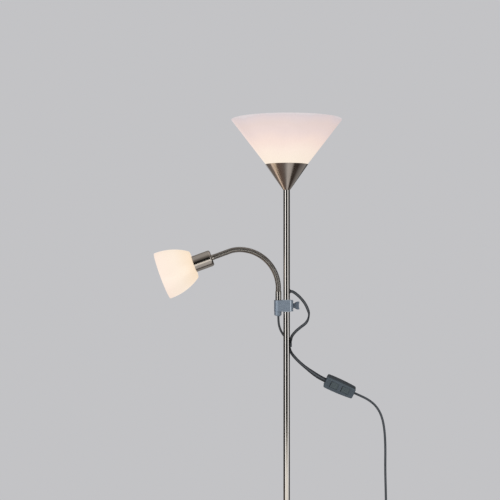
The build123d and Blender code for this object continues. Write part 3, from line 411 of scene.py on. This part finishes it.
def skin(name, rings, material, across=None):
    """A tube through rings of points, closed at both ends. A flat cord's points keep their place across it."""
    size = len(rings[0])
    points = [point for ring in rings for point in ring]
    faces = []
    for row in range(len(rings) - 1):
        for side in range(size):
            after = (side + 1) % size
            faces.append((row * size + side, row * size + after,
                          (row + 1) * size + after, (row + 1) * size + side))
    faces.append(tuple(reversed(range(size))))
    last = (len(rings) - 1) * size
    faces.append(tuple(range(last, last + size)))
    piece = new_mesh(name, points, faces, material)
    if across:
        places = piece.data.attributes.new("across", "FLOAT", "POINT")
        places.data.foreach_set("value", across * len(rings))
    return piece


# ---------------------------------------------------------------- cords
main_width, reading_width, flat_thickness = 0.0068, 0.0056, 0.0036
double_diameter, double_thickness = 0.0090, 0.0044
supply_diameter = 0.0056

# Widths and twists in degrees along a flat cord: (share of its length, value)
double_widths = ((0, 0.0068), (0.45, 0.0072), (0.85, 0.0112), (1, 0.0112))
main_twists = ((0, 0), (0.36, 0), (0.49, 70), (0.64, 10), (0.9, 0), (1, 60))
reading_upper_twists, reading_lower_twists = ((0, 40), (1, 30)), ((0, 30), (1, 60))
double_twists = ((0, 20), (0.3, 0), (1, 0))

main_branch_route = (
    (0.0096, 0, 1.3826), (0.013, 0, 1.3826), (0.0185, 0.0002, 1.3798), (0.0278, 0.0009, 1.3726),
    (0.0358, 0.0018, 1.3646), (0.044, 0.0029, 1.3544), (0.0506, 0.004, 1.342), (0.056, 0.006, 1.3255),
    (0.050, 0.0085, 1.306), (0.0335, 0.011, 1.294), (0.019, 0.013, 1.281), (0.0105, 0.014, 1.268),
    (0.0105, 0.014, 1.256))
reading_branch_route = (
    (-0.020, 0, 1.3224), (-0.020, 0, 1.309), (-0.0173, 0.0045, 1.2945), (-0.012, 0.0085, 1.2825),
    (-0.005, 0.012, 1.2725), (0.0018, 0.0137, 1.2632), (0.004, 0.014, 1.252))
double_route = (
    (0.006, 0.0142, 1.250), (0.0082, 0.0138, 1.2384), (0.0142, 0.0127, 1.2279), (0.027, 0.0105, 1.2135),
    (0.045, 0.0075, 1.1978), (0.066, 0.0035, 1.1825), (0.083749, 0, 1.171236), (0.094714, 0, 1.166354))
supply_route = (
    (0.163686, 0, 1.135646), (0.178304, 0, 1.129136), (0.197, 0.0004, 1.1203), (0.2155, 0.0015, 1.1063),
    (0.230, 0.003, 1.084), (0.238, 0.0045, 1.052), (0.241, 0.0055, 1.008), (0.2405, 0.007, 0.950),
    (0.2425, 0.008, 0.880), (0.2435, 0.0085, 0.806), (0.242, 0.0095, 0.728), (0.243, 0.011, 0.650),
    (0.2455, 0.012, 0.571), (0.246, 0.012, 0.492), (0.2445, 0.0125, 0.413), (0.244, 0.014, 0.334),
    (0.2455, 0.0155, 0.256), (0.2465, 0.016, 0.180), (0.246, 0.0165, 0.118), (0.2453, 0.0175, 0.070),
    (0.2452, 0.025, 0.034), (0.2454, 0.039, 0.0125), (0.2458, 0.057, 0.0049), (0.24553, 0.07441, 0.0042))
plug_route = ((0.16887, 0.07441, 0.0103), (0.169, 0.058, 0.0084), (0.1693, 0.042, 0.007), (0.1693, 0.027, 0.007))
coil_centre, coil_floor, coil_turns = Vector((0.2072, 0.095, 0)), 0.0042, 2
coil_outer_radius, coil_step = 0.0378, 0.0061
coil_rise_turns, coil_points_per_turn = 0.5, 16


def cord_curve(name, route):
    """A NURBS curve with a route's points as its control points."""
    data = bpy.data.curves.new(name, "CURVE")
    data.dimensions = "3D"
    spline = data.splines.new("NURBS")
    spline.points.add(len(route) - 1)
    for point, place in zip(spline.points, route):
        point.co = (*place, 1)
    spline.order_u = 3
    spline.use_endpoint_u = True
    data.resolution_u = 10
    return data


def cord_line(route):
    """The points along a route's smooth line."""
    data = cord_curve("line", route)
    carrier = bpy.data.objects.new("line", data)
    mesh = bpy.data.meshes.new_from_object(carrier)
    line = [vertex.co.copy() for vertex in mesh.vertices]
    bpy.data.objects.remove(carrier)
    bpy.data.meshes.remove(mesh)
    bpy.data.curves.remove(data)
    return line


def line_length(line):
    """Length of a line of points."""
    return sum((after - before).length for before, after in zip(line, line[1:]))


def between(stops, share):
    """A number read from (share, number) stops, eased from one stop to the next."""
    for (low, first), (high, second) in zip(stops, stops[1:]):
        if share <= high:
            part = max(0.0, (share - low) / (high - low))
            return first + (second - first) * part * part * (3 - 2 * part)
    return stops[-1][1]


def twin_section(width, thickness, count=24):
    """The outline of a flat twin cord: two strands side by side with a groove between them."""
    groove_depth, groove_reach, groove_curve, strand_curve = 0.5, 0.5, 1.2, 0.75
    outline = []
    for number in range(count):
        angle = 2 * math.pi * number / count
        across, over = math.cos(angle), math.sin(angle)
        groove = 1 - groove_depth + groove_depth * min(1.0, abs(across) / groove_reach) ** groove_curve
        round_off = math.copysign(abs(over) ** strand_curve, over)
        outline.append((width / 2 * across, thickness / 2 * round_off * groove))
    return outline


def flat_cord(name, line, widths, thickness, twists):
    """A flat twin cord along a line."""
    whole, gone, rings = line_length(line), 0.0, []
    for number, place in enumerate(line):
        before, after = line[max(number - 1, 0)], line[min(number + 1, len(line) - 1)]
        ahead = (after - before).normalized()
        gone += (place - before).length
        share = gone / whole
        side = Vector((0, 1, 0)).cross(ahead).normalized()
        side = Matrix.Rotation(math.radians(between(twists, share)), 3, ahead) @ side
        up = ahead.cross(side)
        outline = twin_section(between(widths, share), thickness)
        rings.append([place + side * across + up * over for across, over in outline])
    # Each point's share of the half width, which the twin cord's material reads to paint shade round the edges
    half_width = max(abs(across) for across, _ in outline)
    return skin(name, rings, twin_cord, [abs(across) / half_width for across, _ in outline])


main_line = cord_line(main_branch_route)
main_flex = flat_cord("main_branch_flex", main_line, ((0, main_width), (1, main_width)), flat_thickness, main_twists)
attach(main_flex, "stand")
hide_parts("cord_main_branch")

reading_line = cord_line(reading_branch_route)
half_way = len(reading_line) // 2
upper_part, lower_part = reading_line[:half_way + 1], reading_line[half_way:]
reading_widths = ((0, reading_width), (1, reading_width))
reading_flex_upper = flat_cord("reading_branch_flex_upper", upper_part, reading_widths, flat_thickness,
                               reading_upper_twists)
reading_flex_lower = flat_cord("reading_branch_flex_lower", lower_part, reading_widths, flat_thickness,
                               reading_lower_twists)
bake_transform(reading_flex_upper)
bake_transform(reading_flex_lower)
for flex, line in ((reading_flex_upper, upper_part), (reading_flex_lower, lower_part)):
    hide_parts("cord_reading_branch")

double_line = cord_line(double_route)
double_flex = flat_cord("double_flex", double_line, double_widths, double_thickness, double_twists)
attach(double_flex, "stand")
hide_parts("cord_double")


def coil_points():
    """The coil's turns: in over the lower layer, up in half a turn, out over the upper layer."""
    whole = 2 * coil_turns + coil_rise_turns
    points = []
    for step in range(int(whole * coil_points_per_turn) + 1):
        turn = step / coil_points_per_turn
        radius = coil_outer_radius - coil_step * min(turn, whole - turn)
        share = min(max((turn - coil_turns) / coil_rise_turns, 0.0), 1.0)
        rise = coil_step * share * share * (3 - 2 * share)
        angle = 2 * math.pi * turn
        points.append(coil_centre + Vector((radius * math.cos(angle), radius * math.sin(angle), coil_floor + rise)))
    return points


supply_data = cord_curve("supply_flex", (*supply_route, *coil_points(), *plug_route))
supply_data.bevel_depth = supply_diameter / 2
supply_data.bevel_resolution = 5
supply_data.use_fill_caps = True
supply_flex = bpy.data.objects.new("supply_flex", supply_data)
supply_data.materials.append(grey_cord)
bpy.context.scene.collection.objects.link(supply_flex)
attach(supply_flex, "stand")
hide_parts("cord_supply", "cord_coil", "cord_plug_end")


# ---------------------------------------------------------------- bendable arm
arm_x, arm_foot, arm_bend_height = -0.020, 1.383, 1.3896
arm_wide_bend, arm_tight_bend, arm_straight = 0.0945, 0.0745, 0.0389
arm_pitch, arm_valley, arm_crest = 0.0030, 0.0056, 0.0067
arm_wire_share, arm_wire_squareness = 0.76, 5
arm_rings_per_pitch, arm_sides = 10, 32
arm_gap, arm_bend_reach = 0.0018, 0.018
arm_bodies = ("arm_clamp", "arm_second", "arm_third", "arm_fourth", "reading_head")


def arm_stretches():
    """Lengths of the arm's stretches: up, wide bend, tight bend and the straight run into the head."""
    return arm_bend_height - arm_foot, arm_wide_bend * math.pi / 2, arm_tight_bend * head_tilt, arm_straight


def arm_frame(distance):
    """Centre and two axes across the arm at a distance from its lower ferrule."""
    rise, wide, tight, _ = arm_stretches()
    if distance <= rise:
        place, turn = Vector((arm_x, 0, arm_foot + distance)), 0.0
    elif distance <= rise + wide:
        turn = (distance - rise) / arm_wide_bend
        place = Vector((arm_x - arm_wide_bend * (1 - math.cos(turn)), 0,
                        arm_bend_height + arm_wide_bend * math.sin(turn)))
    else:
        further = min((distance - rise - wide) / arm_tight_bend, head_tilt)
        turn = math.pi / 2 + further
        straight = max(0.0, distance - rise - wide - tight)
        place = Vector((
            arm_x - arm_wide_bend - arm_tight_bend * math.sin(further) - straight * math.cos(further), 0,
            arm_bend_height + arm_wide_bend - arm_tight_bend * (1 - math.cos(further))
            - straight * math.sin(further)))
    across = Vector((-math.cos(turn), 0, -math.sin(turn)))
    return place, across, Vector((0, 1, 0))


def arm_ring(distance):
    """One ring of the arm's wound surface: a flattened wire lies in a helix with a narrow groove beside it."""
    place, across, deep = arm_frame(distance)
    ring = []
    for side in range(arm_sides):
        angle = 2 * math.pi * side / arm_sides
        phase = (distance / arm_pitch - side / arm_sides) % 1.0
        swell = 0.0
        if phase < arm_wire_share:
            swell = max(0.0, 1 - abs(2 * phase / arm_wire_share - 1) ** arm_wire_squareness) ** 0.5
        radius = arm_valley + (arm_crest - arm_valley) * swell
        ring.append(place + across * radius * math.cos(angle) + deep * radius * math.sin(angle))
    return ring


def arm_pieces():
    """Four lengths of the arm, each bent over the hinge in its middle."""
    whole = sum(arm_stretches())
    hinge_count = len(arm_bodies) - 1
    step = (whole + arm_gap) / (hinge_count + 1)
    hinges = [number * step - arm_gap / 2 for number in range(1, hinge_count + 1)]
    ends = [0.0, *[(first + second) / 2 for first, second in zip(hinges, hinges[1:])], whole]
    for number, (hinge, low, high) in enumerate(zip(hinges, ends, ends[1:]), 1):
        count = max(2, round((high - low) / arm_pitch * arm_rings_per_pitch))
        rings = [arm_ring(low + (high - low) * row / count) for row in range(count + 1)]
        piece = skin(f"arm_winding_{number}", rings, nickel_arm)
        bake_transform(piece)
        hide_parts(f"arm_segment_{number}")
        if number == hinge_count:
            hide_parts("arm_segment_5", "arm_lead")


arm_pieces()


# ---------------------------------------------------------------- floor and lights
def studio_floor():
    """A pale floor that fades into the background away from the lamp. The metal doesn't see it."""
    radius, fade_from, fade_to, sides, speckle_scale = 3.2, 0.9, 2.9, 96, 60.0
    material, tree, shader = new_material("studio_floor")
    place = own_place(tree)
    length = tree.nodes.new("ShaderNodeVectorMath")
    length.operation = "LENGTH"
    tree.links.new(place, length.inputs[0])
    two_tone(tree, shader, noise(tree, place, speckle_scale), (0.54, 0.54, 0.555), (0.56, 0.56, 0.575))
    path = tree.nodes.new("ShaderNodeLightPath")
    to_others = math_node(tree, "SUBTRACT", 1.0, path.outputs["Is Glossy Ray"])
    near = in_range(tree, length.outputs["Value"], fade_from, fade_to, 1.0, 0.0)
    tree.links.new(math_node(tree, "MULTIPLY", near, to_others), shader.inputs["Alpha"])
    shader.inputs["Roughness"].default_value = 0.9
    rim = [(radius * math.cos(2 * math.pi * side / sides), radius * math.sin(2 * math.pi * side / sides), 0)
           for side in range(sides)]
    floor = new_mesh("studio_floor", rim, [tuple(range(sides))], material)


def softbox(name, place, power):
    """A large soft light that faces the lamp. The metal sees the studio's world instead of it."""
    light = bpy.data.lights.new(name, "AREA")
    light.shape = "RECTANGLE"
    light.size, light.size_y = 1.8, 2.4
    light.energy = power
    lamp = bpy.data.objects.new(name, light)
    lamp.location = place
    aim = Vector((0, 0, place[2])) - Vector(place)
    lamp.rotation_euler = aim.to_track_quat("-Z", "Y").to_euler()
    lamp.visible_glossy = False
    bpy.context.scene.collection.objects.link(lamp)


# ---------------------------------------------------------------- background
pale_grey, ambient_grey = (0.545, 0.545, 0.560), (0.52, 0.52, 0.54)
studio_strength = 1.5
black, white = (0, 0, 0), (1, 1, 1)

# The studio round the lamp, as the metal sees it: (degrees from the viewer, right positive, colour)
level_bands = ((-180, (0.34, 0.34, 0.35)), (-162, (0.34, 0.34, 0.35)), (-152, (0.05, 0.047, 0.044)),
               (-115, (0.05, 0.047, 0.044)), (-105, (0.004, 0.004, 0.004)), (-63, (0.004, 0.004, 0.004)),
               (-56, (0.80, 0.78, 0.76)), (-49, (1.90, 1.87, 1.83)), (-42, (1.72, 1.69, 1.66)),
               (-34, (0.40, 0.39, 0.38)), (-29, (0.0, 0.0, 0.0)), (20, (0.0, 0.0, 0.0)),
               (30, (0.50, 0.49, 0.48)), (40, (0.96, 0.94, 0.92)), (48, (0.96, 0.94, 0.92)),
               (57, (0.55, 0.54, 0.53)), (66, (0.004, 0.004, 0.004)), (118, (0.004, 0.004, 0.004)),
               (128, (0.03, 0.03, 0.03)), (164, (0.03, 0.03, 0.03)), (174, (0.30, 0.30, 0.31)),
               (180, (0.34, 0.34, 0.35)))
lower_bands = ((-180, (0.38, 0.38, 0.39)), (-160, (0.38, 0.38, 0.39)), (-148, (0.05, 0.047, 0.044)),
               (-115, (0.05, 0.047, 0.044)), (-105, (0.0, 0.0, 0.0)), (-59, (0.0, 0.0, 0.0)),
               (-53, (0.70, 0.69, 0.67)), (-46, (1.70, 1.68, 1.65)), (-41, (1.55, 1.53, 1.50)),
               (-35, (0.75, 0.74, 0.72)), (-28, (0.0, 0.0, 0.0)), (38, (0.0, 0.0, 0.0)),
               (48, (0.87, 0.86, 0.85)), (55, (1.42, 1.41, 1.40)), (61, (1.38, 1.37, 1.36)),
               (70, (0.43, 0.43, 0.43)), (75, (0.004, 0.004, 0.004)), (118, (0.004, 0.004, 0.004)),
               (128, (0.03, 0.03, 0.03)), (164, (0.03, 0.03, 0.03)), (174, (0.32, 0.32, 0.33)),
               (180, (0.38, 0.38, 0.39)))
lowest_bands = ((-180, (0.14, 0.13, 0.12)), (-121, (0.14, 0.115, 0.10)), (-113, (0.82, 0.66, 0.54)),
                (-96, (0.80, 0.61, 0.48)), (-88, (0.11, 0.075, 0.058)), (-30, (0.12, 0.10, 0.09)),
                (-12, (0.22, 0.205, 0.195)), (12, (0.44, 0.42, 0.40)), (52, (0.40, 0.375, 0.355)),
                (63, (0.035, 0.027, 0.022)), (96, (0.04, 0.031, 0.027)), (108, (0.13, 0.12, 0.115)),
                (150, (0.26, 0.25, 0.24)), (180, (0.14, 0.13, 0.12)))

# Heights of a direction (-1 down, 1 up) over which one set of bands gives way to the next
level_over_lower, lower_over_lowest, ceiling_over_level = (-0.09, -0.03), (-0.34, -0.2), (0.25, 0.5)
ceiling = ((0.5, (0.11, 0.098, 0.088)), (0.66, (0.16, 0.145, 0.13)), (0.8, (0.30, 0.28, 0.26)),
           (1.0, (0.34, 0.32, 0.30)))

# One light bar low before the lamp: its edges as shares of the way up and of the way round
bar_colour = (0.86, 0.82, 0.75)
bar_heights = ((0.235, black), (0.26, white), (0.40, white), (0.417, black))
bar_sides = ((0.36, black), (0.41, white), (0.59, white), (0.64, black))


def mixed(tree, share, first, second):
    """Two colours mixed by a share. A colour is a socket or plain numbers."""
    node = tree.nodes.new("ShaderNodeMix")
    node.data_type = "RGBA"
    factor = next(socket for socket in node.inputs if socket.identifier == "Factor_Float")
    tree.links.new(share, factor)
    for value, socket in zip((first, second), [socket for socket in node.inputs if socket.type == "RGBA"]):
        if isinstance(value, bpy.types.NodeSocket):
            tree.links.new(value, socket)
        else:
            socket.default_value = (*value, 1)
    return next(socket for socket in node.outputs if socket.type == "RGBA")


def studio_glow(tree):
    """The studio by direction: bands round the horizon and below it, a low light bar and a dim ceiling."""
    place = tree.nodes.new("ShaderNodeTexCoord")
    heading = axes(tree, place.outputs["Generated"])
    height = heading["Z"]
    turn = math_node(tree, "ARCTAN2", heading["X"], math_node(tree, "MULTIPLY", heading["Y"], -1.0))
    share = in_range(tree, turn, -math.pi, math.pi)
    level, lower, lowest = (ramp(tree, share, [((angle + 180) / 360, colour) for angle, colour in bands])
                            for bands in (level_bands, lower_bands, lowest_bands))
    beside = mixed(tree, in_range(tree, height, *level_over_lower), lower, level)
    around = mixed(tree, in_range(tree, height, *lower_over_lowest), lowest, beside)
    bar = math_node(tree, "MULTIPLY", ramp(tree, in_range(tree, height, -1, 1), bar_heights),
                    ramp(tree, share, bar_sides))
    lit = mixed(tree, bar, around, bar_colour)
    return mixed(tree, in_range(tree, height, *ceiling_over_level), lit, ramp(tree, height, ceiling))


def world_light():
    """Pale background to the eye and to glass, even light on everything, and the studio's bands in the metal."""
    world = bpy.data.worlds.new("studio")
    bpy.context.scene.world = world
    world.use_nodes = True
    tree = world.node_tree
    tree.nodes.clear()
    output = tree.nodes.new("ShaderNodeOutputWorld")
    path = tree.nodes.new("ShaderNodeLightPath")
    pale, room, ambient = (tree.nodes.new("ShaderNodeBackground") for _ in range(3))
    pale.inputs["Color"].default_value = (*pale_grey, 1)
    ambient.inputs["Color"].default_value = (*ambient_grey, 1)
    tree.links.new(studio_glow(tree), room.inputs["Color"])
    room.inputs["Strength"].default_value = studio_strength
    seen = math_node(tree, "MAXIMUM", path.outputs["Is Camera Ray"], path.outputs["Is Transmission Ray"])
    first, second = tree.nodes.new("ShaderNodeMixShader"), tree.nodes.new("ShaderNodeMixShader")
    tree.links.new(path.outputs["Is Glossy Ray"], first.inputs["Fac"])
    tree.links.new(ambient.outputs["Background"], first.inputs[1])
    tree.links.new(room.outputs["Background"], first.inputs[2])
    tree.links.new(seen, second.inputs["Fac"])
    tree.links.new(first.outputs["Shader"], second.inputs[1])
    tree.links.new(pale.outputs["Background"], second.inputs[2])
    tree.links.new(second.outputs["Shader"], output.inputs["Surface"])


studio_floor()
softbox("left_softbox", (-1.8, -2.2, 1.5), 34)
softbox("right_softbox", (2.1, -1.6, 1.5), 16)
world_light()

bpy.context.scene.view_settings.view_transform = "Standard"
